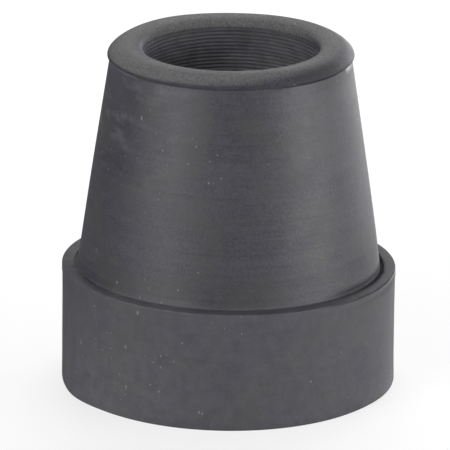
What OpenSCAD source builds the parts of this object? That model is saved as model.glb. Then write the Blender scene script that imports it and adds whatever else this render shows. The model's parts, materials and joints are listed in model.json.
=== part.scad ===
// Rubber cane tip: one moulding, a tapered sleeve with a rolled collar that stands on a wide skirt.
// The shaft presses into a blind bore lined with fine grip rings, and the underside has a ring tread.
// The axis is Z, and the tread stands on Z = 0.

/* [Bore] */
// Diameter of the cane shaft, measured over the crests of the grip rings
shaft_d = 19; // [16:0.5:22]
// Depth of the bore below the top of the collar
bore_depth = 29; // [20:0.2:30]
// Radius where the mouth turns into the bore
mouth_round = 0.65; // [0.4:0.05:0.9]
// Radius of the flare that leads from the rim down to the mouth
mouth_flare_round = 3.8; // [3:0.1:6]
// Radius in the corner at the floor of the bore
bore_floor_round = 1; // [0.5:0.1:2]

/* [Grip rings] */
// Distance from one ring to the next
ring_pitch = 0.42; // [0.4:0.02:0.8]
// Depth of the grooves between the rings
ring_depth = 0.2; // [0.1:0.02:0.3]
// Height of the crest of a ring
ring_crest_h = 0.14; // [0.1:0.02:0.2]
// Height of the root of a groove
ring_root_h = 0.1; // [0.06:0.02:0.18]
// Plain wall between the rounded mouth and the first groove
ring_lead = 0.3; // [0.06:0.02:2]

/* [Sleeve] */
// Overall height of the tip
height = 38; // [35:0.2:44]
// Wall of the sleeve at its neck, outside the crests of the rings
neck_wall = 3.57; // [2.8:0.01:4.2]
// Radius in the corner between the sleeve and the shoulder of the skirt
sleeve_foot_round = 0.3; // [0.15:0.05:0.6]

/* [Collar] */
// How far the collar stands out over the neck
collar_lip = 0.26; // [0.2:0.02:0.6]
// Radius of the crown that the top rolls over on
collar_crown_round = 2.5; // [2:0.1:2.8]
// Radius of the outer edge, below the crown
collar_edge_round = 0.6; // [0.4:0.05:1.2]
// Radius of the lower edge, above the groove
collar_under_round = 0.12; // [0.06:0.02:0.18]
// Height of the groove under the collar
neck_groove_h = 0.2; // [0.1:0.02:0.4]
// Depth of that groove into the neck
neck_groove_depth = 0.1; // [0.05:0.01:0.3]

/* [Skirt] */
// Diameter of the skirt at the floor
skirt_d = 36.5; // [35:0.1:42]
// Height of the skirt, up to its shoulder
skirt_h = 13.1; // [10:0.1:18]
// Draft of the skirt's wall, in degrees
skirt_draft = 0.2; // [0:0.1:2]
// Width of the shoulder, from the foot of the sleeve to the skirt's wall
shoulder_w = 1.65; // [1.3:0.05:2.5]
// Radius of the shoulder's outer edge
shoulder_edge_round = 0.2; // [0.1:0.05:0.5]
// Radius of the edge at the floor
floor_edge_round = 0.1; // [0.1:0.05:0.6]
// Flat land between the sleeve's foot and the groove round it
shoulder_land_w = 0.12; // [0.05:0.01:0.2]
// Width of the groove round the sleeve's foot
shoulder_groove_w = 0.16; // [0.1:0.02:0.3]
// Depth of that groove
shoulder_groove_depth = 0.12; // [0.05:0.01:0.3]

/* [Tread] */
// Diameter of the plain pad in the middle of the underside
tread_pad_d = 8; // [5:0.5:12]
// Width of a tread groove at the floor
tread_groove_w = 1.4; // [0.8:0.1:2]
// Width of the land between two tread grooves
tread_land_w = 1.8; // [1:0.1:3]
// Least width of the outermost land
tread_rim_w = 2.5; // [2:0.1:4]
// Depth of the tread grooves
tread_depth = 1.2; // [0.5:0.1:2.5]
// Draft of the sides of the tread grooves, in degrees
tread_draft = 8; // [0:1:10]

/* [Hidden] */
$fn = 96;
rubber_grey = [0.27, 0.27, 0.29];
fine_steps = 4;
broad_steps = 8;
crown_angle = 40;
eps = 0.01;

bore_r = shaft_d / 2;
bore_floor_z = height - bore_depth;

neck_r = bore_r + neck_wall;
collar_r = neck_r + collar_lip;
crown_r = collar_r - collar_edge_round
        - (collar_crown_round - collar_edge_round) * cos(crown_angle);
collar_edge_z = height - collar_crown_round
              + (collar_crown_round - collar_edge_round) * sin(crown_angle);
neck_groove_z = collar_edge_z - collar_under_round;
neck_z = neck_groove_z - neck_groove_h;

flare_angle = asin((crown_r - bore_r - mouth_round) / (mouth_flare_round - mouth_round));
mouth_z = height - mouth_flare_round + (mouth_flare_round - mouth_round) * cos(flare_angle);

ring_flank_h = (ring_pitch - ring_crest_h - ring_root_h) / 2;
ring_top_z = mouth_z - ring_lead;
ring_zone_h = ring_top_z - ring_crest_h - bore_floor_z - bore_floor_round;
ring_count = floor(ring_zone_h / ring_pitch);

skirt_floor_r = skirt_d / 2;
skirt_top_r = skirt_floor_r - skirt_h * tan(skirt_draft);
sleeve_foot_r = skirt_top_r - shoulder_w;
sleeve_angle = atan((sleeve_foot_r - neck_r) / (neck_z - skirt_h));
foot_round_r = sleeve_foot_r - sleeve_foot_round * tan(sleeve_angle)
             + sleeve_foot_round / cos(sleeve_angle);
shoulder_groove_r = foot_round_r + shoulder_land_w;

tread_pitch = tread_groove_w + tread_land_w;
tread_reach = skirt_floor_r - tread_rim_w - tread_pad_d / 2 + tread_land_w;
tread_count = floor(tread_reach / tread_pitch);

// Points on an arc about [r, z], from one angle to another, both ends included
function arc(centre, radius, from, to, steps) = [
    for (i = [0 : steps])
        let (a = from + (to - from) * i / steps)
        centre + radius * [cos(a), sin(a)]
];

// The skirt's wall and shoulder, from the floor upwards
function skirt_points() = concat(
    [[0, 0]],
    arc([skirt_floor_r - floor_edge_round, floor_edge_round], floor_edge_round, -90, 0, fine_steps),
    arc([skirt_top_r - shoulder_edge_round, skirt_h - shoulder_edge_round], shoulder_edge_round, 0, 90, fine_steps)
);

// The sleeve's tapered wall, from its foot on the shoulder up to the groove under the collar
function sleeve_points() = concat(
    arc([foot_round_r, skirt_h + sleeve_foot_round], sleeve_foot_round, 270, 180 + sleeve_angle, fine_steps),
    [[neck_r, neck_z], [neck_r - neck_groove_depth, (neck_z + neck_groove_z) / 2]]
);

// The rolled collar, from its lower edge over the crown to the top
function collar_points() = concat(
    arc([collar_r - collar_under_round, collar_edge_z], collar_under_round, -90, 0, fine_steps),
    arc([collar_r - collar_edge_round, collar_edge_z], collar_edge_round, 0, crown_angle, fine_steps),
    arc([crown_r, height - collar_crown_round], collar_crown_round, crown_angle, 90, broad_steps),
    [[0, height]]
);

// Everything outside the bore and the grooves
module body_section() {
    polygon(concat(skirt_points(), sleeve_points(), collar_points()));
}

// One groove between two grip rings, with its top edge at z
function ring_groove_points(z) = [
    [bore_r, z],
    [bore_r + ring_depth, z - ring_flank_h],
    [bore_r + ring_depth, z - ring_flank_h - ring_root_h],
    [bore_r, z - ring_flank_h * 2 - ring_root_h]
];

// The blind bore, from above the mouth down to the middle of its floor
module bore_section() {
    polygon(concat(
        [[0, height + eps], [crown_r, height + eps]],
        arc([crown_r, height - mouth_flare_round], mouth_flare_round, 90, 90 + flare_angle, broad_steps),
        arc([bore_r + mouth_round, mouth_z], mouth_round, 90 + flare_angle, 180, fine_steps),
        [for (i = [0 : ring_count - 1]) each ring_groove_points(ring_top_z - i * ring_pitch)],
        arc([bore_r - bore_floor_round, bore_floor_z + bore_floor_round], bore_floor_round, 0, -90, fine_steps),
        [[0, bore_floor_z]]
    ));
}

// The fine groove round the foot of the sleeve
module shoulder_groove_section() {
    translate([shoulder_groove_r, skirt_h - shoulder_groove_depth])
        square([shoulder_groove_w, shoulder_groove_depth + eps]);
}

// The rings of the tread, cut into the underside
module tread_section() {
    side = tread_depth * tan(tread_draft);
    for (i = [0 : tread_count - 1])
        translate([tread_pad_d / 2 + i * tread_pitch, 0])
            polygon([
                [0, -eps],
                [0, 0],
                [side, tread_depth],
                [tread_groove_w - side, tread_depth],
                [tread_groove_w, 0],
                [tread_groove_w, -eps]
            ]);
}

module cane_tip() {
    color(rubber_grey)
        rotate_extrude()
            difference() {
                body_section();
                bore_section();
                shoulder_groove_section();
                tread_section();
            }
}

cane_tip();
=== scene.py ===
import json
import math

import bpy
import numpy as np
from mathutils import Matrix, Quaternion, Vector


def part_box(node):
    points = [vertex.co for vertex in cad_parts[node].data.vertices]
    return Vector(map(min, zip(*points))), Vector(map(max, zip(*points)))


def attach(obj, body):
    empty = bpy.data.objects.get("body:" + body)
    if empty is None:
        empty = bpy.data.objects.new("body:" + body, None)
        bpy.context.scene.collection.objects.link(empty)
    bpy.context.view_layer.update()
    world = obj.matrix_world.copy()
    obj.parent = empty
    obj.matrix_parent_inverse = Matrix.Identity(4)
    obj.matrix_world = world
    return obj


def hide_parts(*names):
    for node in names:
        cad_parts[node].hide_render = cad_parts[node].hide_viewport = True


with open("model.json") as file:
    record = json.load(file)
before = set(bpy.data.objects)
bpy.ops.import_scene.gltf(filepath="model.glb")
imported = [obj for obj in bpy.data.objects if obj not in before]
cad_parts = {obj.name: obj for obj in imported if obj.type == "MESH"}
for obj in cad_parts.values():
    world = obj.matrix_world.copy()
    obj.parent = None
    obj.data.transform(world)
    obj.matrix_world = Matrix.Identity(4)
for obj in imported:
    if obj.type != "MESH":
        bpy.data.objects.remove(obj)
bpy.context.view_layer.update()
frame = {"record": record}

MM = 0.001
NODE = "cane_tip"

# Sizes that the frame gives
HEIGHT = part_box(NODE)[1].z / MM
SKIRT_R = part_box(NODE)[1].x / MM
BORE_R = next(m for m in frame["record"]["mounts"] if m["name"] == "bore")["dims"]["r_mm"]

# Bore and its grip rings, with a rounder mouth than in part.scad
BORE_DEPTH = 29.0
MOUTH_ROUND = 0.9
MOUTH_FLARE_ROUND = 3.8
BORE_FLOOR_ROUND = 1.0
RING_PITCH = 0.42
RING_DEPTH = 0.2
RING_CREST_H = 0.14
RING_ROOT_H = 0.1
RING_LEAD = 0.3

# Neck and collar, with a shallower groove than in part.scad
NECK_WALL = 3.57
NECK_GROOVE_H = 0.2
NECK_GROOVE_DEPTH = 0.015
COLLAR_LIP = 0.26
COLLAR_CROWN_ROUND = 2.5
COLLAR_EDGE_ROUND = 0.6
COLLAR_UNDER_ROUND = 0.12
CROWN_ANGLE = 40
NECK_R = BORE_R + NECK_WALL
COLLAR_R = NECK_R + COLLAR_LIP
CROWN_REACH = COLLAR_CROWN_ROUND - COLLAR_EDGE_ROUND
CROWN_R = COLLAR_R - COLLAR_EDGE_ROUND - CROWN_REACH * math.cos(math.radians(CROWN_ANGLE))
COLLAR_EDGE_Z = HEIGHT - COLLAR_CROWN_ROUND + CROWN_REACH * math.sin(math.radians(CROWN_ANGLE))
NECK_Z = COLLAR_EDGE_Z - COLLAR_UNDER_ROUND - NECK_GROOVE_H
FLARE_ANGLE = math.asin((CROWN_R - BORE_R - MOUTH_ROUND) / (MOUTH_FLARE_ROUND - MOUTH_ROUND))
MOUTH_Z = HEIGHT - MOUTH_FLARE_ROUND + (MOUTH_FLARE_ROUND - MOUTH_ROUND) * math.cos(FLARE_ANGLE)

# Skirt, shoulder and the foot of the sleeve, with a crisper corner and edge than in part.scad
SKIRT_H = 13.1
SKIRT_DRAFT = math.radians(0.2)
SHOULDER_W = 1.65
SHOULDER_EDGE_ROUND = 0.12
SHOULDER_LAND_W = 0.12
SHOULDER_GROOVE_W = 0.16
SHOULDER_GROOVE_DEPTH = 0.12
SLEEVE_FOOT_ROUND = 0.08
FLOOR_EDGE_ROUND = 0.1
SKIRT_TOP_R = SKIRT_R - SKIRT_H * math.tan(SKIRT_DRAFT)
SLEEVE_FOOT_R = SKIRT_TOP_R - SHOULDER_W

# Tread
TREAD_PAD_R = 4.0
TREAD_GROOVE_W = 1.4
TREAD_PITCH = 3.2
TREAD_DEPTH = 1.2
TREAD_DRAFT = math.radians(8)
TREAD_COUNT = 4

# How the real moulding strays from a true turned form
# Azimuths and spreads are in degrees: 0 is the right and -90 the front. A swell is an azimuth, a spread and a
# size, and a tilt is the rise per millimetre along X and along Y.
COLLAR_TILT = (0.0048, -0.0022)
SHOULDER_TILT = (-0.0083, -0.0126)
SHOULDER_DROP = 0.224
RIM_DROP = 0.09
RIM_SWELLS = ((51, 23, 0.072), (128, 25, 0.14))
FOOT_SWELLS = ((-20, 14, 0.18), (-154, 12, 0.31))
FOOT_SWELL_H = 1.6
FOOT_FLASH_AZIMUTH = -20
FOOT_FLASH_SPREAD = 24
FOOT_FLASH_ROUND = 0.32
UNDERCUT_AZIMUTH = -42
UNDERCUT_SPREAD = 28
UNDERCUT_DEPTH = 0.12
LIP_H = 0.8
LIP_OUT = 0.045
LIP_STEP_H = 0.05
LIP_NARROWNESS = 8
SLEEVE_FULLNESS = 0.03
SLEEVE_WAVE = 0.02
SKIRT_WAVE = 0.01
SKIRT_INSET = 0.015
WAVE_LENGTH = 22
RING_WAVE = 0.014
RING_WAVE_LENGTH = 3
RING_WAVE_TURNS = 3
WAVE_COUNT = 6
MOST_WAVES_ROUND = 8
SEED = 7

# The crease at the sleeve's foot, which is open at the back and closes towards the front
# Its points are given out from the foot and up from the shoulder, in crease depths.
CREASE_DEPTH = 0.08
CREASE_POINTS = ((2, 0), (1.2, -1), (0.4, -1), (-0.2, 1))
OPEN_FROM_SINE = (-0.2, -0.02)

# Where those strays set in, from none to full, and where they also end, from full to none again
OUTSIDE_R = (BORE_R + 0.5, BORE_R + 2)
WAVY_RING_R = (BORE_R + 1, BORE_R + 0.3)
WAVY_RING_Z = (HEIGHT - BORE_DEPTH + 2, HEIGHT - BORE_DEPTH + 4)
TILTED_COLLAR_Z = (NECK_Z - 8, NECK_Z)
SWOLLEN_RIM_Z = (NECK_Z - 1, HEIGHT)
TILTED_SHOULDER_Z = (1, SKIRT_H, SKIRT_H + 0.3, SKIRT_H + 5)
WAVY_SKIRT_Z = (1, 3, SKIRT_H - LIP_H - 3, SKIRT_H - LIP_H - 1)
FULL_SLEEVE_Z = (SKIRT_H + 1, SKIRT_H + 4)
WAVY_SLEEVE_Z = (*FULL_SLEEVE_Z, NECK_Z - 4, NECK_Z - 1)

# Mesh
SEGMENTS = 192
LONGEST_STEP = 0.8
ARC_STEPS = 4
BROAD_STEPS = 12
SHARP_ANGLE = math.radians(40)

# Colours of the rubber, of dust, of pale films that paint light, and of painted shade
RUBBER_DARK = (0.033, 0.0318, 0.0412, 1)
RUBBER_LIGHT = (0.06, 0.058, 0.0735, 1)
RUBBER_OLIVE = (0.052, 0.052, 0.049, 1)
# The next colour is painted shade, laid into the corner at the sleeve's foot and onto the shoulder's edge, on
# the right
RUBBER_PAINTED_SHADE = (0.012, 0.0118, 0.0145, 1)
# Pale film colour, for dust and for painted light
DUST_FILM_AND_PAINTED_LIGHT = (0.2, 0.196, 0.215, 1)
# Dust on the rim, whose pale colour also serves as painted light on the rim and the flare
RIM_DUST_AND_PAINTED_LIGHT = (0.2, 0.198, 0.194, 1)
DUST_SPECK = (0.42, 0.41, 0.38, 1)

# Noises: features to the millimetre across the axis and along it, and detail
NOISES = {
    "hue": (0.22, 0.22, 2),
    "broad": (0.16, 0.16, 2),
    "middle": (0.8, 0.8, 2),
    "fine": (3.2, 3.2, 2),
    "grain": (6.5, 6.5, 1),
    "marks": (0.05, 2.2, 3),
    "smudge": (0.3, 0.9, 4),
    "cluster": (0.3, 0.3, 2),
}

# Spans over which a look of the rubber sets in
# A span is a start, an end and, where they aren't 0 and 1, the shares of the look there. X is to the right, Y
# away from the camera and Z up, R is the distance from the axis, AWAY that from a spot of the section, RISE
# how far up the surface faces, and the span after it how far the surface faces the way dust and painted light
# come from.
LEFT_X = (2, -13, 0.12, 1)
LOW_LEFT_X = (0, -14)
LOW_LEFT_Z = (SKIRT_H - 2, 3)
RIGHT_X = (9, 14, 0.15, 1)
FAR_Y = (0, 8)
FRONT_Y = (-4, -13)
SLEEVE_Z = (SKIRT_H - 0.2, SKIRT_H + 0.4)
UPPER_Z = (SKIRT_H + 10, SKIRT_H + 18, 0.3, 1)
CONE_TOP_Z = (NECK_Z + 0.4, NECK_Z)
NECK_AWAY = (0.22, 0.1)
THROAT_X = (4, 14)
THROAT_Z = (NECK_Z - 3, NECK_Z, 0, 0.6)
COLLAR_Z = (NECK_Z, NECK_Z + 0.4)
FLARE_R = (CROWN_R + 0.3, CROWN_R - 0.5)
FLARE_Z = (MOUTH_Z - 0.2, MOUTH_Z + 0.1)
BORE_WALL_R = (BORE_R + RING_DEPTH + 0.1, BORE_R + RING_DEPTH)
BORE_TOP_Z = (MOUTH_Z, MOUTH_Z - 0.4)
# Paler deeper in the bore and on the ring crests: painted light against the bore's shade, and painted glints
DEEP_Z = (MOUTH_Z, MOUTH_Z - 6, 0.4, 1)
CREST_R = (BORE_R + RING_DEPTH, BORE_R, 0.5, 1)
LEDGE_TOP_Z = (SKIRT_H + 0.6, SKIRT_H + 0.3)
LEDGE_RISE = (0.4, 0.8)
# Spans of the corner at the sleeve's foot and of the shoulder's edge, which get painted shade on the right
CORNER_AWAY = (1.2, 0.2)
CORNER_R = (SLEEVE_FOOT_R + 0.9, SLEEVE_FOOT_R + 0.35)
EDGE_AWAY = (0.22, 0.08)
LEVEL_RISE = (0.62, 0.97)
# Facing up and towards the front-left the rim takes dust, and that lean also paints light onto the faces
# turned that way
FACING_DUST_AND_LIGHT = (0.66, 0.97)
DUST_AND_LIGHT_FROM = (-0.35, -0.3, 0.88)

# Mottle: the weight of each noise, and how far the mottle goes from the dark to the light rubber
MOTTLE = {"broad": 1, "middle": 1, "marks": 1.5, "fine": 2, "grain": 2.5}
SLEEVE_MOTTLE = 0.72
SKIRT_MOTTLE = 0.36

# Tint of the rubber: a span over a noise; and the share of painted shade in the corner and on the edge
OLIVE_TINT = (0.42, 0.62, 0, 0.5)
PAINTED_SHADE = 0.5

# Films of dust and of painted light: shares of their colour, or spans over a noise or over how far left a
# place is
SKIRT_FILM = 0.17
LOW_LEFT_FILM = 0.1
SMUDGE_FILM = (0.5, 0.68, 0, 0.16)
# Painted light: a pale film on the front of the shoulder, more to the left, where the sleeve shades it
SHOULDER_PAINTED_LIGHT = (0.3, 0.7, 0.2, 0.4)
# Painted highlight: a pale line along the neck at the far left, where its edge catches the light
NECK_PAINTED_HIGHLIGHT = (0.85, 1, 0, 0.42)
FILM_PATCHES = (0.2, 0.8, 0.7, 1.3)
# Dust on the rim's faces turned up and to the front-left, partly painted light; and painted light on the far
# side of the flare
RIM_DUST_AND_LIGHT_SHARE = 0.5
FLARE_PAINTED_LIGHT = 0.5
RIM_GRAIN = (0.6, 1.4, 0.6, 1.4)

# Specks of dust, in two sorts of a spacing and a size
SPECKS = ((0.45, 0.08), (1.1, 0.14))
SPECK_SQUEEZE = 0.6
SPECK_CLUSTERS = (0.4, 0.7, 0.2, 1.6)
SPECK_SHARE = 0.85
RIM_SPECK_SHARE = 0.7
SPECK_STRENGTH = 0.32

# Sheen, roughness and relief
SHEEN = 0.48
RIM_SHEEN = 0.08
SHOULDER_SHEEN = 0.1
CONE_ROUGHNESS = 0.5
DUSTY_ROUGHNESS = 0.65
WEAR = (0.6, 1.4, -0.06, 0.06)
RELIEF = {"marks": 0.6, "fine": 0.5, "middle": 1.2}
GRAIN_HEIGHT = 0.02

# Camera
TARGET = Vector((-0.458, 0, 17.165)) * MM
CAMERA_DISTANCE = 576.1 * MM
CAMERA_ELEVATION = math.radians(18.35)
CAMERA_ROLL = math.radians(0.5627)
CAMERA_LENS = 422.2
SENSOR_WIDTH = 36

# Lamps: azimuth and elevation in degrees as seen from the tip, and power in watts
# Azimuth 0 is the camera's side and 90 its right.
LAMPS = {
    "left_low": (-60, 5, 0.6),
    "left_front_low": (-40, 5, 0.42),
    "left_front_high": (-40, 30, 0.55),
    "front_low": (20, 5, 0.08),
    "right_front_low": (60, 5, 1.0),
    "right_low": (80, 5, 0.72),
    "right_back_low": (120, 5, 0.65),
    "back_right_low": (150, 5, 2.15),
    "back_high": (180, 30, 0.6),
    "back_top": (180, 60, 0.35),
}
LAMP_DISTANCE = 420
LAMP_SIDE = 200
WORLD_LIGHT = 0.25

# Floor: its grey for the light, and for the camera a paler grey with a share of plain white
FLOOR_R = 3000
FLOOR_SIDES = 96
FLOOR_GREY = 0.18
FLOOR_PALE_GREY = 0.95
FLOOR_WHITE = 0.7
WHITE = (1, 1, 1, 1)


def arc(centre, radius, start, end, steps=ARC_STEPS):
    """Points on an arc about (r, z), from one angle in degrees to another, both ends included."""
    angles = [math.radians(start + (end - start) * i / steps) for i in range(steps + 1)]
    return [(centre[0] + radius * math.cos(a), centre[1] + radius * math.sin(a)) for a in angles]


def tread_section():
    """The underside, from its middle out to the last groove."""
    side = TREAD_DEPTH * math.tan(TREAD_DRAFT)
    points = [(0, 0)]
    for i in range(TREAD_COUNT):
        near_r = TREAD_PAD_R + i * TREAD_PITCH
        far_r = near_r + TREAD_GROOVE_W
        points += [(near_r, 0), (near_r + side, TREAD_DEPTH), (far_r - side, TREAD_DEPTH), (far_r, 0)]
    return points


def skirt_section(foot_open, lip, flash):
    """The skirt's wall and shoulder, from the floor up to the groove round the sleeve's foot."""
    lip_z = SKIRT_H - LIP_H
    edge_r = SKIRT_TOP_R + lip * LIP_OUT
    groove_r = SLEEVE_FOOT_R + SLEEVE_FOOT_ROUND + SHOULDER_LAND_W
    groove_z = SKIRT_H - foot_open * SHOULDER_GROOVE_DEPTH
    side = SHOULDER_GROOVE_W / 5
    round_r = FLOOR_EDGE_ROUND + flash * (FOOT_FLASH_ROUND - FLOOR_EDGE_ROUND)
    return (
        arc((SKIRT_R - round_r, round_r), round_r, -90, 0)
        + [(SKIRT_TOP_R, lip_z - LIP_STEP_H), (edge_r, lip_z)]
        + arc((edge_r - SHOULDER_EDGE_ROUND, SKIRT_H - SHOULDER_EDGE_ROUND), SHOULDER_EDGE_ROUND, 0, 90)
        + [(groove_r + SHOULDER_GROOVE_W, SKIRT_H), (groove_r + SHOULDER_GROOVE_W - side, groove_z)]
        + [(groove_r + side, groove_z), (groove_r, SKIRT_H)]
    )


def sleeve_section(foot_open, undercut):
    """The tapered sleeve, from its foot up to the groove under the collar."""
    lean = math.atan((SLEEVE_FOOT_R - NECK_R) / (NECK_Z - SKIRT_H))
    centre_r = SLEEVE_FOOT_R - SLEEVE_FOOT_ROUND * math.tan(lean) + SLEEVE_FOOT_ROUND / math.cos(lean)
    soft = arc((centre_r, SKIRT_H + SLEEVE_FOOT_ROUND), SLEEVE_FOOT_ROUND, 270, 180 + math.degrees(lean))
    crisp = [(SLEEVE_FOOT_R + out * CREASE_DEPTH, SKIRT_H + up * CREASE_DEPTH) for out, up in CREASE_POINTS]
    crisp.append(soft[-1])
    foot = [tuple(a + (b - a) * foot_open for a, b in zip(*pair)) for pair in zip(soft, crisp)]
    groove_r = NECK_R - NECK_GROOVE_DEPTH - undercut * UNDERCUT_DEPTH
    groove_low = NECK_Z + NECK_GROOVE_H / 3
    groove_high = NECK_Z + NECK_GROOVE_H * 0.9
    return foot + [(NECK_R, NECK_Z), (groove_r, groove_low), (groove_r, groove_high)]


def collar_section():
    """The rolled collar, from its lower edge over the crown to the top."""
    crown = arc((CROWN_R, HEIGHT - COLLAR_CROWN_ROUND), COLLAR_CROWN_ROUND, CROWN_ANGLE, 90, BROAD_STEPS)
    return (
        arc((COLLAR_R - COLLAR_UNDER_ROUND, COLLAR_EDGE_Z), COLLAR_UNDER_ROUND, -90, 0)
        + arc((COLLAR_R - COLLAR_EDGE_ROUND, COLLAR_EDGE_Z), COLLAR_EDGE_ROUND, 0, CROWN_ANGLE)[1:]
        + crown[1:]
    )


def bore_section():
    """The flared mouth, the grip rings and the floor of the blind bore, from the top down to the axis."""
    floor_z = HEIGHT - BORE_DEPTH
    flank_h = (RING_PITCH - RING_CREST_H - RING_ROOT_H) / 2
    top_z = MOUTH_Z - RING_LEAD
    count = int((top_z - RING_CREST_H - floor_z - BORE_FLOOR_ROUND) / RING_PITCH)
    turn = 90 + math.degrees(FLARE_ANGLE)
    points = arc((CROWN_R, HEIGHT - MOUTH_FLARE_ROUND), MOUTH_FLARE_ROUND, 90, turn, BROAD_STEPS)[1:]
    points += arc((BORE_R + MOUTH_ROUND, MOUTH_Z), MOUTH_ROUND, turn, 180, BROAD_STEPS)[1:]
    for i in range(count):
        z = top_z - i * RING_PITCH
        points += [
            (BORE_R, z),
            (BORE_R + RING_DEPTH, z - flank_h),
            (BORE_R + RING_DEPTH, z - flank_h - RING_ROOT_H),
            (BORE_R, z - flank_h * 2 - RING_ROOT_H),
        ]
    floor_corner = (BORE_R - BORE_FLOOR_ROUND, floor_z + BORE_FLOOR_ROUND)
    return points + arc(floor_corner, BORE_FLOOR_ROUND, 0, -90) + [(0, floor_z)]


def outline(foot_open=0, lip=0, flash=0, undercut=0):
    """The whole section, from the middle of the underside to the middle of the bore's floor."""
    skirt = skirt_section(foot_open, lip, flash)
    sleeve = sleeve_section(foot_open, undercut)
    return np.array(tread_section() + skirt + sleeve + collar_section() + bore_section(), float)


def split_long_steps(shapes):
    """The same outlines with their long straight stretches cut into even steps, alike in each."""
    plain = shapes[0]
    counts = np.ceil(np.linalg.norm(np.diff(plain, axis=0), axis=1) / LONGEST_STEP).astype(int).clip(1)
    spots = np.concatenate([i + np.arange(count) / count for i, count in enumerate(counts)] + [[len(counts)]])
    return [
        np.stack([np.interp(spots, np.arange(len(shape)), shape[:, k]) for k in range(2)], axis=-1)
        for shape in shapes
    ]


def smooth_step(value, start, full):
    """0 at the start, 1 where it is full, held beyond both, and a soft curve between them."""
    t = np.clip((value - start) / (full - start), 0, 1)
    return t * t * (3 - 2 * t)


def plateau(value, start, full, end, gone):
    """1 from full to end, falling off softly to 0 at the start and where it is gone."""
    return smooth_step(value, start, full) * smooth_step(value, gone, end)


def toward(angle, azimuth, spread):
    """1 at an azimuth, falling off softly to both sides of it. Both values are in degrees."""
    away = (np.degrees(angle) - azimuth + 180) % 360 - 180
    return np.exp(-((away / spread) ** 2))


def swells(angle, sizes):
    """What a few swells add up to at an angle."""
    return sum(size * toward(angle, azimuth, spread) for azimuth, spread, size in sizes)


def waves(angle, along, wave_length):
    """A slow random waviness of about 1 high, round the tip and along it, about so many millimetres long."""
    rng = np.random.default_rng(SEED)
    total = 0
    for _ in range(WAVE_COUNT):
        turns = rng.integers(1, MOST_WAVES_ROUND + 1)
        pace = rng.uniform(0.5, 1.5) * 2 * math.pi / wave_length
        start = rng.uniform(0, 2 * math.pi)
        total = total + np.sin(turns * angle + pace * along + start) / math.sqrt(WAVE_COUNT)
    return total


def tilt(x, y, slopes):
    """How much higher a tilted plane lies at (x, y) than on the axis."""
    return x * slopes[0] + y * slopes[1]


def stray_up(r, z, angle):
    """How far up a point of the true turned form lies on the real moulding: askew collar and shoulder, a
    swollen rim and wavy rings."""
    x, y = r * np.cos(angle), r * np.sin(angle)
    swell = swells(angle, RIM_SWELLS) * smooth_step(z, *SWOLLEN_RIM_Z)
    collar = smooth_step(z, *TILTED_COLLAR_Z) * (tilt(x, y, COLLAR_TILT) + swell - RIM_DROP)
    shoulder = smooth_step(r, *OUTSIDE_R) * plateau(z, *TILTED_SHOULDER_Z)
    shoulder = shoulder * (tilt(x, y, SHOULDER_TILT) - SHOULDER_DROP)
    wavy = smooth_step(r, *WAVY_RING_R) * smooth_step(z, *WAVY_RING_Z)
    rings = wavy * RING_WAVE * waves(angle * RING_WAVE_TURNS, z, RING_WAVE_LENGTH)
    return collar + shoulder + rings


def stray_out(r, z, angle):
    """How far out a point of the true turned form lies on the real moulding: a full and wavy sleeve, a wavy
    skirt that stays inside the true one, and a swollen foot."""
    wave = waves(angle, z, WAVE_LENGTH)
    sleeve = plateau(z, *WAVY_SLEEVE_Z) * SLEEVE_WAVE * wave
    sleeve = sleeve + smooth_step(z, *FULL_SLEEVE_Z) * SLEEVE_FULLNESS
    skirt = plateau(z, *WAVY_SKIRT_Z) * (SKIRT_WAVE * wave - SKIRT_INSET)
    foot = smooth_step(z, FOOT_SWELL_H, 0) * swells(angle, FOOT_SWELLS)
    return smooth_step(r, *OUTSIDE_R) * (sleeve + skirt + foot)


def as_moulded(r, z, angle):
    """Where a point of the true turned form lies on the real moulding, which stays inside the same box."""
    reach = SKIRT_R / np.maximum(abs(np.cos(angle)), abs(np.sin(angle)))
    return np.minimum(r + stray_out(r, z, angle), reach), z + stray_up(r, z, angle)


def lathe(name, plain, variants):
    """A closed mesh turned from a section whose ends lie on the axis. Each variant of the section comes with
    a function that says how much of it there is at an angle."""
    shapes = split_long_steps([plain] + [shape for shape, _ in variants])
    ends = shapes[0][[0, -1]]
    angles = np.linspace(0, 2 * math.pi, SEGMENTS, endpoint=False)
    section = shapes[0][1:-1, None, :]
    for shape, (_, share) in zip(shapes[1:], variants):
        section = section + (shape - shapes[0])[1:-1, None, :] * share(angles)[None, :, None]
    section = np.broadcast_to(section, (len(shapes[0]) - 2, SEGMENTS, 2))
    r, z = as_moulded(section[..., 0], section[..., 1], angles[None, :])
    grid = np.stack([r * np.cos(angles), r * np.sin(angles), z], axis=-1).reshape(-1, 3)
    poles = [(0, 0, end[1]) for end in ends]
    vertices = np.concatenate([grid, poles]) * MM
    rows, first, last = len(section), len(grid), len(grid) + 1
    faces = []
    for j in range(SEGMENTS):
        k = (j + 1) % SEGMENTS
        faces.append((first, k, j))
        faces.append((last, (rows - 1) * SEGMENTS + j, (rows - 1) * SEGMENTS + k))
        for i in range(rows - 1):
            a, b = i * SEGMENTS, (i + 1) * SEGMENTS
            faces.append((a + j, a + k, b + k, b + j))
    mesh = bpy.data.meshes.new(name)
    mesh.from_pydata(vertices.tolist(), [], faces)
    mesh.shade_smooth()
    mesh.set_sharp_from_angle(angle=SHARP_ANGLE)
    piece = bpy.data.objects.new(name, mesh)
    bpy.context.scene.collection.objects.link(piece)
    normals = piece.modifiers.new("even_normals", "WEIGHTED_NORMAL")
    normals.keep_sharp = True
    return piece


def new_material(name):
    """A new node material and its tree, with only an output in it."""
    material = bpy.data.materials.new(name)
    material.use_nodes = True
    material.node_tree.nodes.clear()
    output = material.node_tree.nodes.new("ShaderNodeOutputMaterial")
    return material, material.node_tree, output


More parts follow.
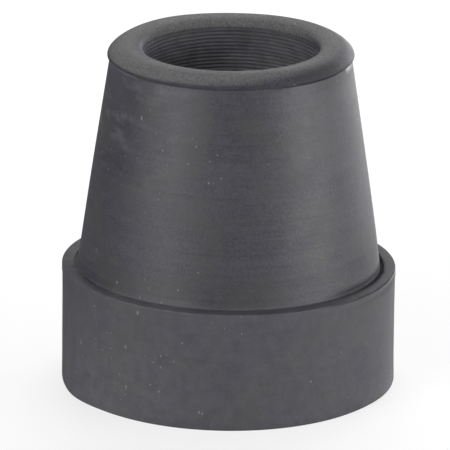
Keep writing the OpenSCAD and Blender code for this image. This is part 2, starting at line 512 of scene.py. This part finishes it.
def add(tree, kind, inputs=None, **settings):
    """A new node with its settings, and its inputs set to values or linked to other nodes' outputs."""
    made = tree.nodes.new(kind)
    for key, value in settings.items():
        setattr(made, key, value)
    for key, value in (inputs or {}).items():
        if isinstance(value, bpy.types.NodeSocket):
            tree.links.new(value, made.inputs[key])
        else:
            made.inputs[key].default_value = value
    return made


def ramp(tree, value, low, high, start=0.0, end=1.0):
    """The value's range from low to high, spread softly over start to end and held beyond."""
    inputs = {0: value, 1: low, 2: high, 3: start, 4: end}
    return add(tree, "ShaderNodeMapRange", inputs, interpolation_type="SMOOTHSTEP").outputs[0]


def calc(tree, operation, *values):
    """One step of arithmetic."""
    return add(tree, "ShaderNodeMath", dict(enumerate(values)), operation=operation).outputs[0]


def product(tree, first, *others):
    """All the values multiplied."""
    for value in others:
        first = calc(tree, "MULTIPLY", first, value)
    return first


def largest(tree, first, *others):
    """The largest of the values."""
    for value in others:
        first = calc(tree, "MAXIMUM", first, value)
    return first


def mixture(tree, noises, weights):
    """Noises added up by their weights, with 0 in the middle."""
    total = -sum(weights.values()) / 2
    for name, weight in weights.items():
        total = calc(tree, "MULTIPLY_ADD", noises[name], weight, total)
    return total


def stretched(tree, place, across, along):
    """The place with its distances across the axis and along it multiplied."""
    inputs = {0: place, 1: (across, across, along)}
    return add(tree, "ShaderNodeVectorMath", inputs, operation="MULTIPLY").outputs[0]


def length(tree, vector):
    """The length of a vector."""
    return add(tree, "ShaderNodeVectorMath", {0: vector}, operation="LENGTH").outputs["Value"]


def blend(tree, share, first, second):
    """The first colour with a share of the second."""
    return add(tree, "ShaderNodeMix", {0: share, 6: first, 7: second}, data_type="RGBA").outputs[2]


def noise(tree, place, across, along, detail):
    """Noise between 0 and 1, with about so many features to the millimetre across the axis and along it."""
    inputs = {"Vector": stretched(tree, place, across, along), "Scale": 1, "Detail": detail}
    return add(tree, "ShaderNodeTexNoise", inputs).outputs[0]


def near(tree, radius, z, spot, span):
    """The share that a span gives at the distance from a spot (r, z) of the section."""
    across = calc(tree, "SUBTRACT", radius, spot[0])
    along = calc(tree, "SUBTRACT", z, spot[1])
    away = add(tree, "ShaderNodeCombineXYZ", {0: across, 1: along}).outputs[0]
    return ramp(tree, length(tree, away), *span)


def zones(tree, place):
    """Where on the tip a point lies, as shares of the parts of its surface that look unlike."""
    x, y, z = add(tree, "ShaderNodeSeparateXYZ", {0: place}).outputs
    radius = length(tree, stretched(tree, place, 1, 0))
    normal = add(tree, "ShaderNodeNewGeometry").outputs["Normal"]
    rise = add(tree, "ShaderNodeSeparateXYZ", {0: normal}).outputs[2]
    facing = add(tree, "ShaderNodeVectorMath", {0: normal, 1: DUST_AND_LIGHT_FROM}, operation="DOT_PRODUCT")
    sleeve = ramp(tree, z, *SLEEVE_Z)
    right = ramp(tree, x, *RIGHT_X)
    ledge_rise = product(tree, rise, ramp(tree, z, *LEDGE_TOP_Z))
    neck_away = calc(tree, "ABSOLUTE", calc(tree, "SUBTRACT", z, NECK_Z))
    shoulder_z = SKIRT_H - SHOULDER_DROP
    corner = near(tree, radius, z, (SLEEVE_FOOT_R, shoulder_z), CORNER_AWAY)
    edge = near(tree, radius, z, (SKIRT_TOP_R, shoulder_z), EDGE_AWAY)
    return {
        "left": ramp(tree, x, *LEFT_X),
        "low_left": product(tree, ramp(tree, x, *LOW_LEFT_X), ramp(tree, z, *LOW_LEFT_Z)),
        "far": ramp(tree, y, *FAR_Y),
        "front": ramp(tree, y, *FRONT_Y),
        "level": ramp(tree, rise, *LEVEL_RISE),
        "settled": ramp(tree, facing.outputs["Value"], *FACING_DUST_AND_LIGHT),
        "shoulder": ramp(tree, ledge_rise, *LEDGE_RISE),
        # The corner and the edge: where painted shade goes
        "corner": product(tree, corner, ramp(tree, radius, *CORNER_R), right),
        "edge": product(tree, edge, right),
        "sleeve": sleeve,
        "cone": product(tree, sleeve, ramp(tree, z, *CONE_TOP_Z)),
        "upper": ramp(tree, z, *UPPER_Z),
        "throat": product(tree, ramp(tree, x, *THROAT_X), ramp(tree, z, *THROAT_Z)),
        "neck": ramp(tree, neck_away, *NECK_AWAY),
        "collar": ramp(tree, z, *COLLAR_Z),
        "flare": product(tree, ramp(tree, radius, *FLARE_R), ramp(tree, z, *FLARE_Z)),
        "bore": product(tree, ramp(tree, radius, *BORE_WALL_R), ramp(tree, z, *BORE_TOP_Z)),
        "crests": ramp(tree, radius, *CREST_R),
        "deep": ramp(tree, z, *DEEP_Z),
    }


def rubber_colour(tree, zone, noises):
    """Dark grey rubber, mottled, tinted olive in places, with painted shade darkening the corner and the edge
    on the right.
    """
    strength = ramp(tree, zone["sleeve"], 0, 1, SKIRT_MOTTLE, SLEEVE_MOTTLE)
    share = calc(tree, "MULTIPLY_ADD", mixture(tree, noises, MOTTLE), strength, 0.5)
    colour = blend(tree, share, RUBBER_DARK, RUBBER_LIGHT)
    colour = blend(tree, ramp(tree, noises["hue"], *OLIVE_TINT), colour, RUBBER_OLIVE)
    # Painted shade: the corner at the sleeve's foot and the shoulder's edge, on the right, darkened as if
    # shaded
    painted_shade = product(tree, largest(tree, zone["corner"], zone["edge"]), PAINTED_SHADE)
    return blend(tree, painted_shade, colour, RUBBER_PAINTED_SHADE)


def dust_and_painted_light(tree, zone, noises, colour):
    """The colour under a thin pale film: dust on the skirt's wall and in smudges on the left, painted light
    on the front of the shoulder, a painted highlight at the left of the neck, and painted light and glints on
    the rings of the bore."""
    wall = product(tree, ramp(tree, zone["sleeve"], 1, 0), ramp(tree, zone["level"], 1, 0))
    wall = product(tree, wall, calc(tree, "MULTIPLY_ADD", zone["low_left"], LOW_LEFT_FILM, SKIRT_FILM))
    # Painted light on the front of the shoulder, more to the left, where the sleeve shades it
    painted_ledge_light = product(tree, zone["shoulder"], zone["front"], ramp(tree, zone["left"], *SHOULDER_PAINTED_LIGHT))
    smudge = product(tree, zone["left"], zone["cone"], zone["upper"])
    smudge = product(tree, smudge, ramp(tree, noises["smudge"], *SMUDGE_FILM))
    # Painted highlight along the neck at the far left
    neck = product(tree, zone["neck"], ramp(tree, zone["left"], *NECK_PAINTED_HIGHLIGHT))
    # Painted light on the bore's rings: lightest on the crests as painted glints, and paler deeper down
    # against the bore's shade
    bore = product(tree, zone["bore"], zone["crests"], zone["deep"])
    film_and_painted_light = largest(tree, wall, painted_ledge_light, smudge, neck, bore)
    film_and_painted_light = product(tree, film_and_painted_light, ramp(tree, noises["middle"], *FILM_PATCHES))
    return blend(tree, film_and_painted_light, colour, DUST_FILM_AND_PAINTED_LIGHT)


def rim_dust_and_painted_light(tree, zone, noises, colour):
    """The colour under the dust on the rim's faces turned up and to the front-left, which also paints light
    onto them, and under painted light on the far side of the flare.
    """
    settled = product(tree, zone["settled"], RIM_DUST_AND_LIGHT_SHARE)
    # Painted light on the far side of the flare
    flare = product(tree, zone["flare"], zone["far"], FLARE_PAINTED_LIGHT)
    rim = product(tree, largest(tree, settled, flare), zone["collar"], ramp(tree, zone["bore"], 1, 0))
    grain = ramp(tree, calc(tree, "ADD", noises["fine"], noises["grain"]), *RIM_GRAIN)
    return blend(tree, product(tree, rim, grain), colour, RIM_DUST_AND_PAINTED_LIGHT)


def specks(tree, place, spacing, size, share):
    """Round specks, one at most in each cell of the spacing, and only in the share of cells that has one."""
    cells = add(tree, "ShaderNodeTexVoronoi", {"Vector": place, "Scale": 1 / spacing})
    chance = add(tree, "ShaderNodeSeparateColor", {0: cells.outputs["Color"]})
    radius = product(tree, chance.outputs[1], size / spacing)
    inside = calc(tree, "LESS_THAN", cells.outputs["Distance"], radius)
    return product(tree, inside, calc(tree, "LESS_THAN", chance.outputs[0], share))


def dust_specks(tree, place, zone, noises):
    """Pale specks in clusters, mostly on the left, the rim and the skirt, a little drawn out upwards."""
    where = largest(tree, zone["left"], ramp(tree, zone["collar"], 0, 1, 0, RIM_SPECK_SHARE))
    height = largest(tree, zone["upper"], ramp(tree, zone["sleeve"], 1, 0))
    cluster = ramp(tree, noises["cluster"], *SPECK_CLUSTERS)
    often = product(tree, cluster, where, height, SPECK_SHARE)
    drawn = stretched(tree, place, 1, SPECK_SQUEEZE)
    return largest(tree, *[specks(tree, drawn, spacing, size, often) for spacing, size in SPECKS])


def rubber_sheen(tree, zone):
    """How strongly the rubber mirrors: less on the rim, on the shoulder and at the right under the collar,
    and least in the corner and on the edge that carry painted shade."""
    rim = ramp(tree, zone["collar"], 0, 1, SHEEN, RIM_SHEEN)
    dull = ramp(tree, largest(tree, zone["shoulder"], zone["throat"]), 0, 1, SHEEN, SHOULDER_SHEEN)
    outside_corner_and_edge = ramp(tree, largest(tree, zone["corner"], zone["edge"]), 1, 0)
    return product(tree, calc(tree, "MINIMUM", rim, dull), outside_corner_and_edge)


def rubber():
    """Dark grey moulded rubber: mottled, with turning marks from the mould, films of dust and specks, painted
    shade in the corner and on the edge, and painted light on the shoulder, the neck, the rim and the bore.
    """
    material, tree, output = new_material("rubber_moulded")
    coords = add(tree, "ShaderNodeTexCoord").outputs["Object"]
    place = add(tree, "ShaderNodeVectorMath", {0: coords, "Scale": 1 / MM}, operation="SCALE").outputs[0]
    zone = zones(tree, place)
    noises = {name: noise(tree, place, *sizes) for name, sizes in NOISES.items()}
    dust = dust_specks(tree, place, zone, noises)
    colour = rubber_colour(tree, zone, noises)
    colour = dust_and_painted_light(tree, zone, noises, colour)
    colour = rim_dust_and_painted_light(tree, zone, noises, colour)
    colour = blend(tree, product(tree, dust, SPECK_STRENGTH), colour, DUST_SPECK)
    relief = calc(tree, "ADD", mixture(tree, noises, RELIEF), dust)
    bump = add(tree, "ShaderNodeBump", {"Height": relief, "Distance": GRAIN_HEIGHT * MM, "Strength": 1.0})
    worn = ramp(tree, calc(tree, "ADD", noises["middle"], noises["broad"]), *WEAR)
    rough = calc(tree, "ADD", worn, ramp(tree, zone["cone"], 0, 1, DUSTY_ROUGHNESS, CONE_ROUGHNESS))
    surface = {"Base Color": colour, "Roughness": rough, "Specular IOR Level": rubber_sheen(tree, zone)}
    shader = add(tree, "ShaderNodeBsdfPrincipled", {**surface, "Normal": bump.outputs[0]})
    tree.links.new(shader.outputs[0], output.inputs["Surface"])
    return material


def build_tip():
    """The whole moulding, in one piece: a turned form whose foot, lip and undercut change round it."""
    variants = [
        (outline(foot_open=1), lambda angle: smooth_step(np.sin(angle), *OPEN_FROM_SINE)),
        (outline(lip=1), lambda angle: np.cos(angle) ** LIP_NARROWNESS),
        (outline(flash=1), lambda angle: toward(angle, FOOT_FLASH_AZIMUTH, FOOT_FLASH_SPREAD)),
        (outline(undercut=1), lambda angle: toward(angle, UNDERCUT_AZIMUTH, UNDERCUT_SPREAD)),
    ]
    tip = lathe("cane_tip_moulding", outline(), variants)
    tip.data.materials.append(rubber())
    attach(tip, "root")
    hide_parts(NODE)


def floor_paint():
    """Plain grey where light bounces off the floor, nearly white with a soft shadow for the camera."""
    material, tree, output = new_material("pale_floor")
    paper = add(tree, "ShaderNodeBsdfDiffuse", {"Color": (FLOOR_GREY, FLOOR_GREY, FLOOR_GREY, 1)})
    pale = (FLOOR_PALE_GREY, FLOOR_PALE_GREY, FLOOR_PALE_GREY, 1)
    shown = add(tree, "ShaderNodeBsdfDiffuse", {"Color": pale})
    white = add(tree, "ShaderNodeEmission", {"Color": WHITE, "Strength": 1.0})
    seen = add(tree, "ShaderNodeMixShader", {0: FLOOR_WHITE, 1: shown.outputs[0], 2: white.outputs[0]})
    camera = add(tree, "ShaderNodeLightPath").outputs["Is Camera Ray"]
    mix = add(tree, "ShaderNodeMixShader", {0: camera, 1: paper.outputs[0], 2: seen.outputs[0]})
    tree.links.new(mix.outputs[0], output.inputs["Surface"])
    return material


def build_floor():
    """A wide pale floor."""
    bpy.ops.mesh.primitive_circle_add(vertices=FLOOR_SIDES, radius=FLOOR_R * MM, fill_type="NGON")
    floor = bpy.context.object
    floor.name = "floor"
    floor.data.materials.append(floor_paint())


def add_lamp(name, azimuth, elevation, power):
    """A square soft lamp that looks at the middle of the tip."""
    a, e = math.radians(azimuth), math.radians(elevation)
    away = Vector((math.sin(a) * math.cos(e), -math.cos(a) * math.cos(e), math.sin(e)))
    data = bpy.data.lights.new(name, "AREA")
    data.size = LAMP_SIDE * MM
    data.energy = power
    lamp = bpy.data.objects.new(name, data)
    bpy.context.scene.collection.objects.link(lamp)
    lamp.location = Vector((0, 0, HEIGHT / 2 * MM)) + away * LAMP_DISTANCE * MM
    lamp.rotation_mode = "QUATERNION"
    lamp.rotation_quaternion = (-away).to_track_quat("-Z", "Y")
    lamp.visible_camera = False


def build_world():
    """Plain light from all round, and white where the camera looks past the floor."""
    world = bpy.data.worlds.new("studio")
    bpy.context.scene.world = world
    world.use_nodes = True
    tree = world.node_tree
    tree.nodes.clear()
    camera = add(tree, "ShaderNodeLightPath").outputs["Is Camera Ray"]
    plain = add(tree, "ShaderNodeBackground", {"Color": WHITE, "Strength": WORLD_LIGHT})
    white = add(tree, "ShaderNodeBackground", {"Color": WHITE, "Strength": 1.0})
    mix = add(tree, "ShaderNodeMixShader", {0: camera, 1: plain.outputs[0], 2: white.outputs[0]})
    output = add(tree, "ShaderNodeOutputWorld")
    tree.links.new(mix.outputs[0], output.inputs["Surface"])


def build_camera():
    """The camera at the photograph's angle, turned a little about its own axis."""
    data = bpy.data.cameras.new("camera")
    data.lens = CAMERA_LENS
    data.sensor_width = SENSOR_WIDTH
    camera = bpy.data.objects.new("camera", data)
    bpy.context.scene.collection.objects.link(camera)
    back = Vector((0, -math.cos(CAMERA_ELEVATION), math.sin(CAMERA_ELEVATION)))
    camera.location = TARGET + back * CAMERA_DISTANCE
    camera.rotation_mode = "QUATERNION"
    camera.rotation_quaternion = (-back).to_track_quat("-Z", "Y") @ Quaternion((0, 0, 1), CAMERA_ROLL)
    bpy.context.scene.camera = camera


bpy.context.scene.view_settings.view_transform = "Standard"
build_camera()
build_tip()
build_floor()
for lamp_name, lamp_values in LAMPS.items():
    add_lamp(lamp_name, *lamp_values)
build_world()
